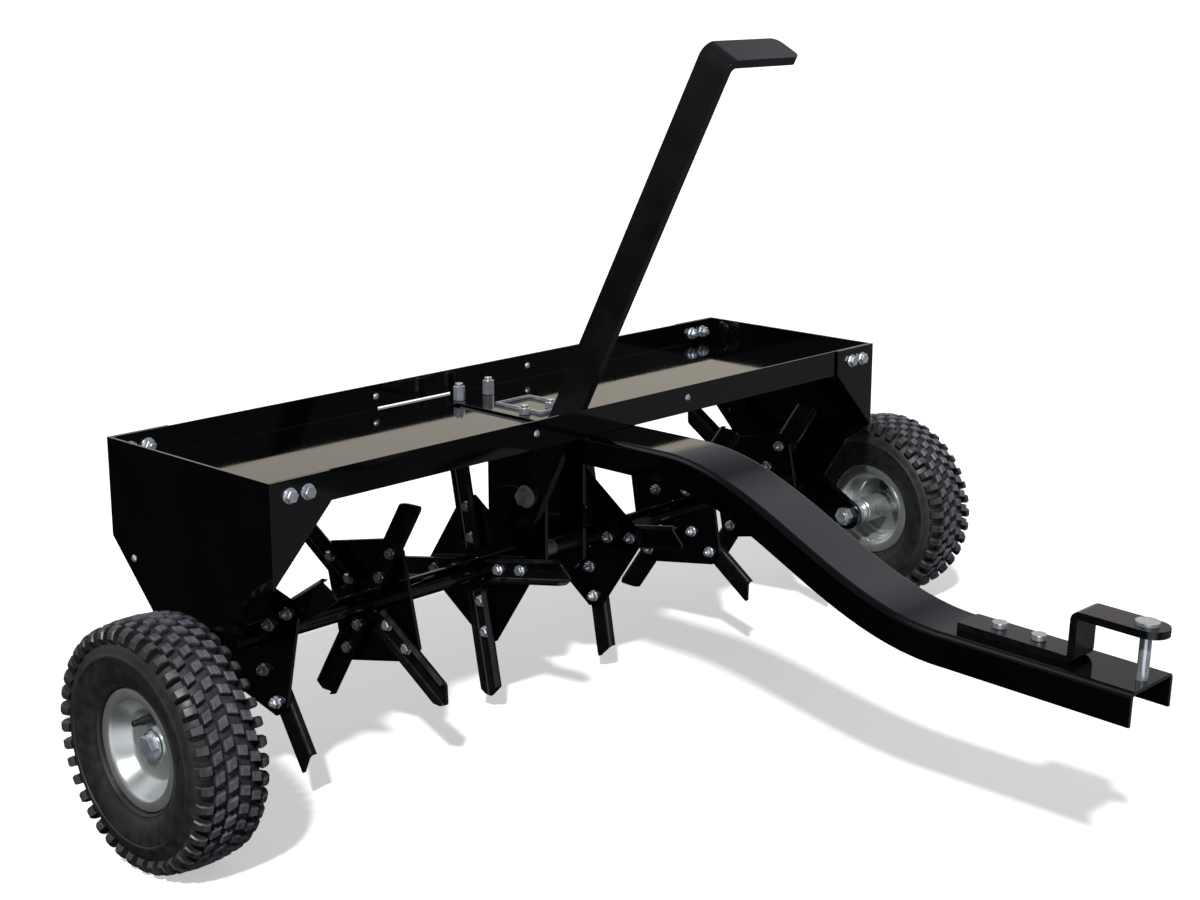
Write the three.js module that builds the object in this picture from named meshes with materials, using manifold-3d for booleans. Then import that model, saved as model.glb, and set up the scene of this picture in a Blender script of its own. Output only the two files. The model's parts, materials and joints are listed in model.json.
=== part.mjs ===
// Tow-behind core aerator, 40 inch class, in millimetres.
// X runs across the machine, -Y points to the tow vehicle, +Z is up, and the wheels stand on z = 0.
// Local Y = 0 is the middle of the weight tray; the exported group is shifted so that its box is centred.
import * as THREE from "three";
import { mergeVertices } from "three/addons/utils/BufferGeometryUtils.js";
import Module from "manifold-3d";

const wasm = await Module();
wasm.setup();

// Driving dimensions
const GAP = 0.3;
const TRAY_LENGTH = 1016;
const TRAY_DEPTH = 290.6;
const TRAY_TOP = 390;
const FLOOR_TOP = 359;
const SHEET = 2.5;
const END_SHEET = 3;
const DRAIN_HEIGHT = 2.2;
const AXLE_Y = -5;
const AXLE_RADIUS = 9.5;
const RUNNING = 0.5;
const LEAN = THREE.MathUtils.degToRad(28);
const ARM_LENGTH = 98.6;
const TYRE_RADIUS = 131.2;
const AXLE_Z = TYRE_RADIUS + ARM_LENGTH * Math.sin(LEAN);
const HALF_TRACK = 614;
const TYRE_WIDTH = 84;
const RIM_WIDTH = 59;
const BEAD_RADIUS = 50.8;
const RIM_FLANGE_RADIUS = 64;
const TYRE_SIDES = 32;
const RIM_SIDES = 24;
const CHANNEL_WIDTH = 81;
const CHANNEL_DEPTH = 36;
const CHANNEL_WALL = 4;
const TONGUE_TAIL_Y = 125;
const TONGUE_BEND_Y = -250;
const HITCH_Y = -640;
const HITCH_Z = 232.5;
const HITCH_DIP = THREE.MathUtils.degToRad(2);
const HITCH_LENGTH = 211;
const STRAP_WIDTH = 38;
const STRAP_THICK = 8;
const STRAP_LEG = 135;
const STRAP_REACH = 222;
const STRAP_HEIGHT = 56;
const STRAP_BOLTS = [38, 84];
const PIN_REACH = 199;
const PIN_RADIUS = 6;
const PIN_DEPTH = 12;
const LEVER_X = -46.3;
const LEVER_THICK = 10;
const LEVER_WIDTH = 40.5;
const LEVER_OFFSET = 3;
const LEVER_TOP = 709;
const HANDLE_END_X = 69;
const LIFT_RANGE = THREE.MathUtils.degToRad(44);
const STOP_RADIUS = 97.6;
const STOP_ANGLE = THREE.MathUtils.degToRad(23.5);
const STOP_BOLT_RADIUS = 6;
const STOP_GROOVE = 2.8;
const HANGER_OUTER_X = 35.5;
const HANGER_SHEET = 5;
const STAR_X = [94, 264, 434];
const STAR_SHEET = 4;
const STAR_APOTHEM = 72;
const STAR_CORNER = 91;
const SPOON_WIDTH = 30;
const SPOON_DEPTH = 12;
const SPOON_WALL = 3.5;
const SPOON_ROOT = 27;
const SPOON_TIP = 159.5;
const SPOON_BOLTS = [39.5, 78];
const GANG_TUBE_RADIUS = 13.35;
const GANG_INNER_X = 62;
const GANG_OUTER_X = 496;
const DRAIN_X = [-127, -6];
const TALL_NUT = 18;
const PLAIN_NUT = 7.5;
const TRAY_HALF = TRAY_LENGTH / 2;
const LIP_OUTER_Y = TRAY_DEPTH / 2 - END_SHEET - GAP;
const FLOOR_BOTTOM = FLOOR_TOP - SHEET;
const WEB_TOP = FLOOR_BOTTOM - GAP;
const HANGER_TOP = WEB_TOP - CHANNEL_WALL - GAP;
const BOLT_RADIUS = 5;
const BOLT_HOLE = BOLT_RADIUS + 0.5;
const BUSH_RADIUS = 14;
const BUSH_FLANGE_RADIUS = 19;
const ARM_INNER_X = TRAY_HALF + 24;
const ARM_SHEET = 10;
const ARM_RADIUS = 20;
const STUB_RADIUS = 8;
const AXLE_END_X = ARM_INNER_X + ARM_SHEET + 1;
const HUB_INNER_X = HALF_TRACK - 50;
const HUB_OUTER_X = HALF_TRACK + 10;
const DISC_X = 6;
const HUB_RADIUS = 17;
const HUB_BORE = STUB_RADIUS + RUNNING;
const SPOON_HOLE = 4.3;
const TONGUE_BOLTS = [
  [-25, 103],
  [25, 103],
  [-22.5, -12],
  [22.5, -12],
];
const STARS = [
  { x: -STAR_X[2], phase: 32, face: 1 },
  { x: -STAR_X[1], phase: 58, face: -1 },
  { x: -STAR_X[0], phase: 11, face: -1 },
  { x: STAR_X[0], phase: 10, face: 1 },
  { x: STAR_X[1], phase: 54.5, face: 1 },
  { x: STAR_X[2], phase: 57, face: 1 },
];

// Finishes
const paint = { color: 0x0b0b0c, roughness: 0.22, metalness: 0 };
const blackSteel = { color: 0x101011, roughness: 0.4, metalness: 0.1 };
const zinc = { color: 0xb9c0c6, roughness: 0.32, metalness: 1 };
const plainSteel = { color: 0x8a8d90, roughness: 0.4, metalness: 1 };
const rubber = { color: 0x131314, roughness: 0.8, metalness: 0 };

// A closed geometry as a solid that can be joined and cut.
function solid(geometry) {
  const g = geometry.clone();
  g.deleteAttribute("normal");
  g.deleteAttribute("uv");
  const merged = mergeVertices(g, 1e-4);
  return new wasm.Manifold(
    new wasm.Mesh({
      numProp: 3,
      vertProperties: new Float32Array(merged.attributes.position.array),
      triVerts: new Uint32Array(merged.index.array),
    }),
  );
}

// A solid back as a named mesh with its own material.
function piece(name, body, finish) {
  const mesh = body.getMesh();
  const geometry = new THREE.BufferGeometry();
  geometry.setAttribute("position", new THREE.BufferAttribute(mesh.vertProperties, 3));
  geometry.setIndex(new THREE.BufferAttribute(mesh.triVerts, 1));
  const flat = geometry.toNonIndexed();
  flat.computeVertexNormals();
  const made = new THREE.Mesh(flat, new THREE.MeshStandardMaterial(finish));
  made.name = name;
  return made;
}

const joined = (bodies) => bodies.reduce((a, b) => a.add(b));
const cut = (body, tools) => tools.reduce((a, b) => a.subtract(b), body);

function outline(points) {
  return new THREE.Shape(points.map(([u, v]) => new THREE.Vector2(u, v)));
}

function extruded(shape, depth, curveSegments = 8) {
  return new THREE.ExtrudeGeometry(shape, { depth, bevelEnabled: false, curveSegments });
}

// A (y, z) shape extruded from x0 to x1.
function alongX(shape, x0, x1, curveSegments) {
  const basis = new THREE.Matrix4().makeBasis(
    new THREE.Vector3(0, 1, 0),
    new THREE.Vector3(0, 0, 1),
    new THREE.Vector3(1, 0, 0),
  );
  return solid(extruded(shape, x1 - x0, curveSegments).applyMatrix4(basis).translate(x0, 0, 0));
}

// An (x, z) shape extruded from y0 to y1.
function alongY(shape, y0, y1, curveSegments) {
  return solid(extruded(shape, y1 - y0, curveSegments).rotateX(Math.PI / 2).translate(0, y1, 0));
}

// An (x, y) shape extruded from z0 to z1.
function alongZ(shape, z0, z1, curveSegments) {
  return solid(extruded(shape, z1 - z0, curveSegments).translate(0, 0, z0));
}

function block(x0, x1, y0, y1, z0, z1) {
  const box = new THREE.BoxGeometry(x1 - x0, y1 - y0, z1 - z0);
  return solid(box.translate((x0 + x1) / 2, (y0 + y1) / 2, (z0 + z1) / 2));
}

// A cylinder, or a prism of few sides, along X, centred on (y, z).
function rodX(radius, x0, x1, y = 0, z = 0, sides = 24) {
  const g = new THREE.CylinderGeometry(radius, radius, x1 - x0, sides);
  return solid(g.rotateZ(-Math.PI / 2).translate((x0 + x1) / 2, y, z));
}

// A cylinder, or a prism of few sides, along Z, centred on (x, y).
function rodZ(radius, z0, z1, x = 0, y = 0, sides = 20) {
  const g = new THREE.CylinderGeometry(radius, radius, z1 - z0, sides);
  return solid(g.rotateX(Math.PI / 2).translate(x, y, (z0 + z1) / 2));
}

// A ring of revolution about X from a closed profile of [radius, x] points.
function turnedX(profile, sides) {
  const points = profile.map(([r, x]) => new THREE.Vector2(r, x));
  points.push(points[0].clone());
  const turned = solid(new THREE.LatheGeometry(points, sides).rotateZ(-Math.PI / 2));
  return turned.volume() < 0 ? flipped(points, sides) : turned;
}

function flipped(points, sides) {
  return solid(new THREE.LatheGeometry([...points].reverse(), sides).rotateZ(-Math.PI / 2));
}

function trayPan() {
  const half = TRAY_HALF - END_SHEET - GAP;
  const profile = outline([
    [-LIP_OUTER_Y, TRAY_TOP],
    [-LIP_OUTER_Y, FLOOR_BOTTOM],
    [LIP_OUTER_Y, FLOOR_BOTTOM],
    [LIP_OUTER_Y, TRAY_TOP],
    [LIP_OUTER_Y - SHEET, TRAY_TOP],
    [LIP_OUTER_Y - SHEET, FLOOR_TOP],
    [-LIP_OUTER_Y + SHEET, FLOOR_TOP],
    [-LIP_OUTER_Y + SHEET, TRAY_TOP],
  ]);
  const slot = block(LEVER_X - 10, LEVER_X + 9.5, -129, 92, 350, 365);
  const drainTop = FLOOR_TOP + DRAIN_HEIGHT;
  const drain = block(...DRAIN_X, LIP_OUTER_Y - SHEET - 1, LIP_OUTER_Y + 1, FLOOR_TOP, drainTop);
  const holes = TONGUE_BOLTS.map(([x, y]) => rodZ(BOLT_HOLE, 350, 365, x, y, 12));
  return cut(alongX(profile, -half, half), [slot, drain, ...holes]);
}

function endPlate(side) {
  const edge = TRAY_DEPTH / 2;
  const plate = outline([
    [-edge, TRAY_TOP],
    [-edge, 277],
    [-107, 250],
    [-62, 177],
    [-45, 150],
    [32, 150],
    [77, 208],
    [edge, 278],
    [edge, TRAY_TOP],
  ]);
  const inner = side * (TRAY_HALF - END_SHEET);
  const outer = side * TRAY_HALF;
  const flange = outline([
    [outer, TRAY_TOP],
    [inner - side * 75, TRAY_TOP],
    [inner - side * 75, 357],
    [inner, 280],
    [outer, 280],
  ]);
  const body = joined([
    alongX(plate, Math.min(inner, outer), Math.max(inner, outer)),
    alongY(flange, -edge, -edge + END_SHEET),
    alongY(flange, edge - END_SHEET, edge),
  ]);
  const bore = rodX(BUSH_RADIUS + GAP, -600, 600, AXLE_Y, AXLE_Z);
  const rivetHole = rodX(3, -600, 600, 105, 259, 12);
  return cut(body, [bore, rivetHole]);
}

function axleBush(side) {
  const start = TRAY_HALF - END_SHEET - 6;
  const face = TRAY_HALF + GAP;
  const bush = joined([
    rodX(BUSH_RADIUS, start, face + 1),
    rodX(BUSH_FLANGE_RADIUS, face, face + 2.5),
  ]);
  const bored = cut(bush, [rodX(AXLE_RADIUS + RUNNING, 400, 600)]);
  const placed = side < 0 ? bored.mirror([1, 0, 0]) : bored;
  return placed.translate([0, AXLE_Y, AXLE_Z]);
}

// An arc slot about the axle, as a (y, z) shape in the lift's upright frame.
function arcSlot(radius, halfWidth, from, to) {
  const shape = new THREE.Shape();
  const at = (r, a) => [-r * Math.sin(a), r * Math.cos(a)];
  const steps = 12;
  const points = [];
  for (let i = 0; i <= steps; i++) points.push(at(radius - halfWidth, from + ((to - from) * i) / steps));
  for (let i = 1; i < 8; i++) {
    const [y, z] = at(radius, to);
    const turn = to + (Math.PI * i) / 8;
    points.push([y + halfWidth * Math.sin(turn), z - halfWidth * Math.cos(turn)]);
  }
  for (let i = 0; i <= steps; i++) points.push(at(radius + halfWidth, to + ((from - to) * i) / steps));
  for (let i = 1; i < 8; i++) {
    const [y, z] = at(radius, from);
    const turn = from + Math.PI + (Math.PI * i) / 8;
    points.push([y + halfWidth * Math.sin(turn), z - halfWidth * Math.cos(turn)]);
  }
  shape.setFromPoints(points.map(([y, z]) => new THREE.Vector2(y, z)));
  return shape;
}

function centreHanger() {
  const side = outline([
    [-59, HANGER_TOP],
    [-59, 172],
    [-35, 150],
    [21, 150],
    [41, 168],
    [41, HANGER_TOP],
  ]);
  const wide = alongX(side, -HANGER_OUTER_X, HANGER_OUTER_X);
  const hollow = block(
    HANGER_SHEET - HANGER_OUTER_X,
    HANGER_OUTER_X - HANGER_SHEET,
    -80,
    60,
    100,
    HANGER_TOP - HANGER_SHEET,
  );
  const bore = rodX(AXLE_RADIUS + RUNNING, -60, 60, AXLE_Y, AXLE_Z);
  const slotShape = arcSlot(STOP_RADIUS, STOP_BOLT_RADIUS + 0.8, STOP_ANGLE, STOP_ANGLE - LIFT_RANGE);
  const slotFloor = STOP_GROOVE - HANGER_OUTER_X;
  const slot = alongX(slotShape, -HANGER_OUTER_X - 5, slotFloor).translate([0, AXLE_Y, AXLE_Z]);
  const holes = TONGUE_BOLTS.slice(2).map(([x, y]) => rodZ(BOLT_HOLE, 330, 360, x, y, 12));
  return cut(wide, [hollow, bore, slot, ...holes]);
}

// Height of the tongue's top: level, a smooth half-wave down, then straight with the hitch's slight dip.
function tongueTop(y) {
  if (y >= TONGUE_BEND_Y) return WEB_TOP;
  if (y <= HITCH_Y) return HITCH_Z + (y - HITCH_Y) * Math.tan(HITCH_DIP);
  const t = (TONGUE_BEND_Y - y) / (TONGUE_BEND_Y - HITCH_Y);
  return WEB_TOP - ((WEB_TOP - HITCH_Z) * (1 - Math.cos(Math.PI * t))) / 2;
}

// Moves a piece drawn at the hitch (back end at y = 0, tongue's top at z = 0) onto the tongue.
function onHitch(body) {
  return body.rotate([THREE.MathUtils.radToDeg(HITCH_DIP), 0, 0]).translate([0, HITCH_Y, HITCH_Z]);
}

// A point of the tongue's side view, a depth below its top and square to it.
function tonguePoint(y, depth) {
  const step = 0.01;
  const slope = (tongueTop(y + step) - tongueTop(y - step)) / (2 * step);
  const length = Math.hypot(slope, 1);
  return [y + (depth * slope) / length, tongueTop(y) - depth / length];
}

function tongueBand(from, to, overhang) {
  const steps = 16;
  const stations = [TONGUE_TAIL_Y + overhang];
  for (let i = 0; i <= steps; i++) {
    stations.push(TONGUE_BEND_Y + ((HITCH_Y - TONGUE_BEND_Y) * i) / steps);
  }
  stations.push(HITCH_Y - HITCH_LENGTH - overhang);
  const upper = stations.map((y) => tonguePoint(y, from));
  const lower = stations.map((y) => tonguePoint(y, to)).reverse();
  return outline([...upper, ...lower]);
}

function tongue() {
  const outer = CHANNEL_WIDTH / 2;
  const inner = outer - CHANNEL_WALL;
  const bar = alongX(tongueBand(0, CHANNEL_DEPTH, 0), -outer, outer);
  const hollow = alongX(tongueBand(CHANNEL_WALL, CHANNEL_DEPTH + 12, 5), -inner, inner);
  const holes = TONGUE_BOLTS.map(([x, y]) => rodZ(BOLT_HOLE, 340, 365, x, y, 12));
  const strapHoles = STRAP_BOLTS.map((reach) => onHitch(rodZ(BOLT_HOLE, -15, 15, 0, -reach, 12)));
  const pinHole = onHitch(rodZ(PIN_RADIUS + RUNNING, -15, 15, 0, -PIN_REACH));
  return cut(bar, [hollow, pinHole, ...holes, ...strapHoles]);
}

// The hitch pieces are drawn about the tongue's level top at the strap's back end, pointing to -Y.
function hitchStrap() {
  const bend = 10;
  const inside = bend - STRAP_THICK;
  const top = STRAP_HEIGHT;
  const t = STRAP_THICK;
  const low = GAP;
  const leg = -STRAP_LEG;
  const side = new THREE.Shape();
  side.moveTo(0, low);
  side.lineTo(0, low + t);
  side.absarc(leg + t + inside, low + t + inside, inside, -Math.PI / 2, -Math.PI, true);
  side.lineTo(leg + t, top - bend);
  side.absarc(leg + t - bend, top - bend, bend, 0, Math.PI / 2, false);
  side.lineTo(-STRAP_REACH, top);
  side.lineTo(-STRAP_REACH, top - t);
  side.lineTo(leg - inside, top - t);
  side.absarc(leg - inside, top - t - inside, inside, Math.PI / 2, 0, true);
  side.lineTo(leg, low + bend);
  side.absarc(leg + bend, low + bend, bend, Math.PI, 1.5 * Math.PI, false);
  side.closePath();
  const bar = alongX(side, -STRAP_WIDTH / 2, STRAP_WIDTH / 2);
  const plan = new THREE.Shape();
  const r = STRAP_WIDTH / 2;
  plan.moveTo(r, 10);
  plan.lineTo(-r, 10);
  plan.absarc(0, r - STRAP_REACH, r, Math.PI, 2 * Math.PI, false);
  plan.closePath();
  const rounded = bar.intersect(alongZ(plan, -10, top + 10, 10));
  const holes = STRAP_BOLTS.map((reach) => rodZ(BOLT_HOLE, -5, 20, 0, -reach, 12));
  return cut(rounded, [...holes, rodZ(PIN_RADIUS + RUNNING, 20, top + 10, 0, -PIN_REACH)]);
}

// A bolt along Z: head below, nut and thread end above.
function uprightBolt(x, y, headTop, nutBottom, nutHeight, threadTop) {
  return joined([
    rodZ(7.5, headTop - 6, headTop, x, y, 6),
    rodZ(BOLT_RADIUS, headTop - 1, threadTop, x, y, 12),
    rodZ(7.5, nutBottom, nutBottom + nutHeight, x, y, 6),
  ]);
}

function tongueBolt([x, y], index) {
  const under = index < 2 ? WEB_TOP - CHANNEL_WALL : HANGER_TOP - HANGER_SHEET;
  const nutHeight = index < 2 ? TALL_NUT : PLAIN_NUT;
  return uprightBolt(x, y, under - GAP, FLOOR_TOP + GAP, nutHeight, FLOOR_TOP + nutHeight + 4);
}

function strapBolt(reach) {
  const top = GAP + STRAP_THICK + GAP;
  const under = -CHANNEL_WALL - GAP;
  return joined([
    rodZ(8, top, top + 6, 0, -reach, 20),
    rodZ(BOLT_RADIUS, under - 10, top + 1, 0, -reach, 12),
    rodZ(9, under - 7.5, under, 0, -reach, 6),
  ]);
}

function hitchPin() {
  const seat = STRAP_HEIGHT + GAP;
  const tip = new THREE.CylinderGeometry(PIN_RADIUS, PIN_RADIUS - 3, 3.2, 24);
  return joined([
    rodZ(12, seat, seat + 3.5, 0, -PIN_REACH, 32),
    rodZ(PIN_RADIUS, 3 - PIN_DEPTH, seat + 1, 0, -PIN_REACH),
    solid(tip.rotateX(Math.PI / 2).translate(0, -PIN_REACH, 1.6 - PIN_DEPTH)),
  ]);
}

// The lift pieces are drawn about the axle, with the lever upright and the wheels straight ahead.
function liftLever() {
  const x0 = LEVER_X - LEVER_THICK / 2;
  const x1 = LEVER_X + LEVER_THICK / 2;
  const bend = 16;
  const inside = bend - LEVER_THICK;
  const face = new THREE.Shape();
  face.moveTo(x0, -40);
  face.lineTo(x1, -40);
  face.lineTo(x1, LEVER_TOP - bend);
  face.absarc(x0 + bend, LEVER_TOP - bend, inside, Math.PI, Math.PI / 2, true);
  face.lineTo(HANDLE_END_X, LEVER_TOP - LEVER_THICK);
  face.lineTo(HANDLE_END_X, LEVER_TOP);
  face.lineTo(x0 + bend, LEVER_TOP);
  face.absarc(x0 + bend, LEVER_TOP - bend, bend, Math.PI / 2, Math.PI, false);
  face.closePath();
  const half = LEVER_WIDTH / 2;
  const bar = alongY(face, LEVER_OFFSET - half, LEVER_OFFSET + half);
  const side = new THREE.Shape();
  side.moveTo(LEVER_OFFSET + half, 0);
  side.lineTo(LEVER_OFFSET + half, LEVER_TOP + 10);
  side.lineTo(LEVER_OFFSET - half, LEVER_TOP + 10);
  side.absarc(LEVER_OFFSET, 0, half, Math.PI, 2 * Math.PI, false);
  side.closePath();
  const grip = new THREE.Shape();
  const corner = 11;
  const end = HANDLE_END_X - corner;
  grip.moveTo(x0 - 5, LEVER_OFFSET + half);
  grip.lineTo(x0 - 5, LEVER_OFFSET - half);
  grip.absarc(end, LEVER_OFFSET - half + corner, corner, -Math.PI / 2, 0, false);
  grip.absarc(end, LEVER_OFFSET + half - corner, corner, 0, Math.PI / 2, false);
  grip.closePath();
  const shaped = bar.intersect(alongX(side, -100, 100, 12)).intersect(alongZ(grip, -60, 800, 6));
  const stopAngle = LEAN - STOP_ANGLE;
  const stopY = STOP_RADIUS * Math.sin(stopAngle);
  const stopZ = STOP_RADIUS * Math.cos(stopAngle);
  return cut(shaped, [
    rodX(AXLE_RADIUS + GAP, -100, 0),
    rodX(STOP_BOLT_RADIUS + GAP, -100, 0, stopY, stopZ, 20),
  ]);
}

// The bolt through the lever: its end runs in the hanger's groove and stops the lever at both ends.
function stopBolt() {
  const a = LEAN - STOP_ANGLE;
  const y = STOP_RADIUS * Math.sin(a);
  const z = STOP_RADIUS * Math.cos(a);
  const out = LEVER_X - LEVER_THICK / 2 - GAP;
  const end = STOP_GROOVE - HANGER_OUTER_X - GAP;
  return joined([
    rodX(14, out - 2.5, out, y, z, 28),
    rodX(11, out - 10, out - 1, y, z, 6),
    rodX(STOP_BOLT_RADIUS, out - 2, end, y, z, 20),
  ]);
}

function wheelArm(side) {
  const shape = new THREE.Shape();
  shape.absarc(0, 0, ARM_RADIUS, -Math.PI / 2, Math.PI / 2, false);
  shape.absarc(-ARM_LENGTH, 0, ARM_RADIUS, Math.PI / 2, 1.5 * Math.PI, false);
  shape.closePath();
  const bar = cut(alongX(shape, ARM_INNER_X, ARM_INNER_X + ARM_SHEET, 8), [
    rodX(AXLE_RADIUS + GAP, 400, 700, 0, 0, 24),
    rodX(STUB_RADIUS + GAP, 400, 700, -ARM_LENGTH, 0, 20),
  ]);
  return side < 0 ? bar.mirror([1, 0, 0]) : bar;
}

function wheelStub(side) {
  const spacerFrom = ARM_INNER_X + ARM_SHEET + GAP;
  const stub = joined([
    rodX(STUB_RADIUS, ARM_INNER_X - 13, HUB_OUTER_X + 3, 0, 0, 20),
    rodX(13, spacerFrom, HUB_INNER_X - 1, 0, 0, 20),
    rodX(16, HUB_INNER_X - 4, HUB_INNER_X - 1, 0, 0, 20),
    rodX(15, HUB_OUTER_X + 1, HUB_OUTER_X + 3.5, 0, 0, 20),
    rodX(12, HUB_OUTER_X + 3, HUB_OUTER_X + 11, 0, 0, 6),
  ]);
  const placed = side < 0 ? stub.mirror([1, 0, 0]) : stub;
  return placed.translate([0, -ARM_LENGTH, 0]);
}

function wheelNut(side) {
  const face = ARM_INNER_X - GAP;
  const nut = cut(rodX(13, face - 10, face, 0, 0, 6), [rodX(STUB_RADIUS + GAP, 400, 600, 0, 0, 20)]);
  const placed = side < 0 ? nut.mirror([1, 0, 0]) : nut;
  return placed.translate([0, -ARM_LENGTH, 0]);
}

// One half of a tyre section, from the crown to the bead, as [radius, offset from the middle] points.
function tyreHalf() {
  const half = TYRE_WIDTH / 2;
  const bead = RIM_WIDTH / 2 - 3;
  return [
    [TYRE_RADIUS, 8],
    [TYRE_RADIUS - 2, 24],
    [TYRE_RADIUS - 9, 36],
    [TYRE_RADIUS - 32, half],
    [TYRE_RADIUS - 53, half - 3],
    [BEAD_RADIUS + 18, bead + 3],
    [BEAD_RADIUS + 14.5, bead],
    [BEAD_RADIUS + GAP, bead],
    [BEAD_RADIUS + GAP, bead - 9],
    [BEAD_RADIUS + 14, bead - 8],
    [TYRE_RADIUS - 52, half - 11],
    [TYRE_RADIUS - 20, half - 14],
    [TYRE_RADIUS - 13, 18],
  ];
}

function tyre() {
  const half = tyreHalf();
  const outer = half.slice(0, 8);
  const inner = half.slice(8);
  const mirror = ([r, x]) => [r, -x];
  const profile = [
    ...outer,
    ...inner,
    ...[...inner].reverse().map(mirror),
    ...[...outer].reverse().map(mirror),
  ];
  return turnedX(profile, TYRE_SIDES);
}

// Pressed rim with rolled flanges, bead seats, a drop centre, a dished disc and the hub barrel.
function rim() {
  const half = RIM_WIDTH / 2;
  const t = 2.2;
  const barrel = turnedX(
    [
      [RIM_FLANGE_RADIUS, half],
      [RIM_FLANGE_RADIUS, half - t],
      [BEAD_RADIUS, half - t],
      [BEAD_RADIUS, half - 13],
      [BEAD_RADIUS - 7, half - 18],
      [BEAD_RADIUS - 7, 18 - half],
      [BEAD_RADIUS, 13 - half],
      [BEAD_RADIUS, t - half],
      [RIM_FLANGE_RADIUS, t - half],
      [RIM_FLANGE_RADIUS, -half],
      [BEAD_RADIUS + 1, -half],
      [BEAD_RADIUS - t, t + 1 - half],
      [BEAD_RADIUS - t, 13 - half],
      [BEAD_RADIUS - 7 - t, 18 - half],
      [BEAD_RADIUS - 7 - t, half - 18],
      [BEAD_RADIUS - t, half - 13],
      [BEAD_RADIUS - t, half - t - 1],
      [BEAD_RADIUS + 1, half],
    ],
    RIM_SIDES,
  );
  const disc = turnedX(
    [
      [BEAD_RADIUS - 8, DISC_X + 1.5],
      [BEAD_RADIUS - 8, DISC_X - 1.5],
      [16, DISC_X - 1.5],
      [16, DISC_X + 1.5],
    ],
    RIM_SIDES,
  );
  const hub = turnedX(
    [
      [HUB_RADIUS, HUB_OUTER_X - HALF_TRACK],
      [HUB_BORE, HUB_OUTER_X - HALF_TRACK],
      [HUB_BORE, HUB_INNER_X - HALF_TRACK],
      [HUB_RADIUS, HUB_INNER_X - HALF_TRACK],
    ],
    24,
  );
  return joined([barrel, disc, hub]);
}

function mainAxle() {
  return rodX(AXLE_RADIUS, -AXLE_END_X, AXLE_END_X);
}

// A gang is drawn about the axle: a tube with three star plates and twelve coring spoons.
function gangTube(side) {
  const tube = cut(rodX(GANG_TUBE_RADIUS, GANG_INNER_X, GANG_OUTER_X), [
    rodX(AXLE_RADIUS + 1, GANG_INNER_X - 5, GANG_OUTER_X + 5),
  ]);
  return side < 0 ? tube.mirror([1, 0, 0]) : tube;
}

// The square plate with cut-off corners, at the given phase, standing at x.
function starPlate(x, phase) {
  const halfFlat = STAR_APOTHEM * Math.SQRT2 - STAR_CORNER;
  const points = [];
  for (let i = 0; i < 4; i++) {
    const turn = (i * Math.PI) / 2;
    for (const v of [-halfFlat, halfFlat]) {
      const y = STAR_CORNER * Math.cos(turn) - v * Math.sin(turn);
      const z = STAR_CORNER * Math.sin(turn) + v * Math.cos(turn);
      points.push([y, z]);
    }
  }
  const plate = alongX(outline(points), -STAR_SHEET / 2, STAR_SHEET / 2);
  const bored = cut(plate, [rodX(GANG_TUBE_RADIUS + GAP, -20, 20)]);
  const holes = [];
  for (let i = 0; i < 4; i++) {
    for (const r of SPOON_BOLTS) {
      const turn = (i * Math.PI) / 2;
      holes.push(rodX(SPOON_HOLE, -20, 20, r * Math.cos(turn), r * Math.sin(turn), 6));
    }
  }
  return placedOnAxle(cut(bored, holes), x, phase);
}

// A coring spoon is a channel with rounded edges, open away from its plate, and slanted at the tip.
function spoon(x, phase, face) {
  const half = SPOON_WIDTH / 2;
  const start = STAR_SHEET / 2 + GAP;
  const section = new THREE.Shape();
  const r = 7;
  section.moveTo(-half, start + SPOON_DEPTH);
  section.absarc(-half + r, start + r, r, Math.PI, 1.5 * Math.PI, false);
  section.absarc(half - r, start + r, r, 1.5 * Math.PI, 2 * Math.PI, false);
  section.lineTo(half, start + SPOON_DEPTH);
  section.lineTo(half - SPOON_WALL, start + SPOON_DEPTH);
  section.absarc(half - r, start + r, r - SPOON_WALL, 2 * Math.PI, 1.5 * Math.PI, true);
  section.absarc(-half + r, start + r, r - SPOON_WALL, 1.5 * Math.PI, Math.PI, true);
  section.lineTo(-half + SPOON_WALL, start + SPOON_DEPTH);
  section.closePath();
  // section (across, out of the plate) runs along the radius, which becomes +Y before the turn
  const basis = new THREE.Matrix4().makeBasis(
    new THREE.Vector3(0, 0, 1),
    new THREE.Vector3(1, 0, 0),
    new THREE.Vector3(0, 1, 0),
  );
  const length = SPOON_TIP - SPOON_ROOT;
  const bar = solid(extruded(section, length, 3).applyMatrix4(basis).translate(0, SPOON_ROOT, 0));
  const slant = outline([
    [SPOON_TIP + 1, half - 6],
    [SPOON_TIP - 16, -half - 1],
    [SPOON_TIP + 40, -half - 1],
    [SPOON_TIP + 40, half + 5],
    [SPOON_TIP - 5, half + 1],
  ]);
  const bevel = alongZ(
    outline([
      [start + 3, SPOON_TIP + 1],
      [start + SPOON_DEPTH + 1, SPOON_TIP - 12],
      [start + SPOON_DEPTH + 1, SPOON_TIP + 20],
      [start + 3, SPOON_TIP + 20],
    ]),
    -40,
    40,
  );
  const holes = SPOON_BOLTS.map((y) => rodX(SPOON_HOLE, -5, 20, y, 0, 6));
  const made = cut(bar, [alongX(slant, -5, 40), bevel, ...holes]);
  return placedOnAxle(face < 0 ? made.mirror([1, 0, 0]) : made, x, phase);
}

// Turns a piece drawn along +Y so that it points to the phase, counted from the front upwards.
function placedOnAxle(body, x, phase) {
  return body.rotate([180 - phase, 0, 0]).translate([x, 0, 0]);
}

function shaft(group, members) {
  for (const member of members) group.add(member);
  return group;
}

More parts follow.
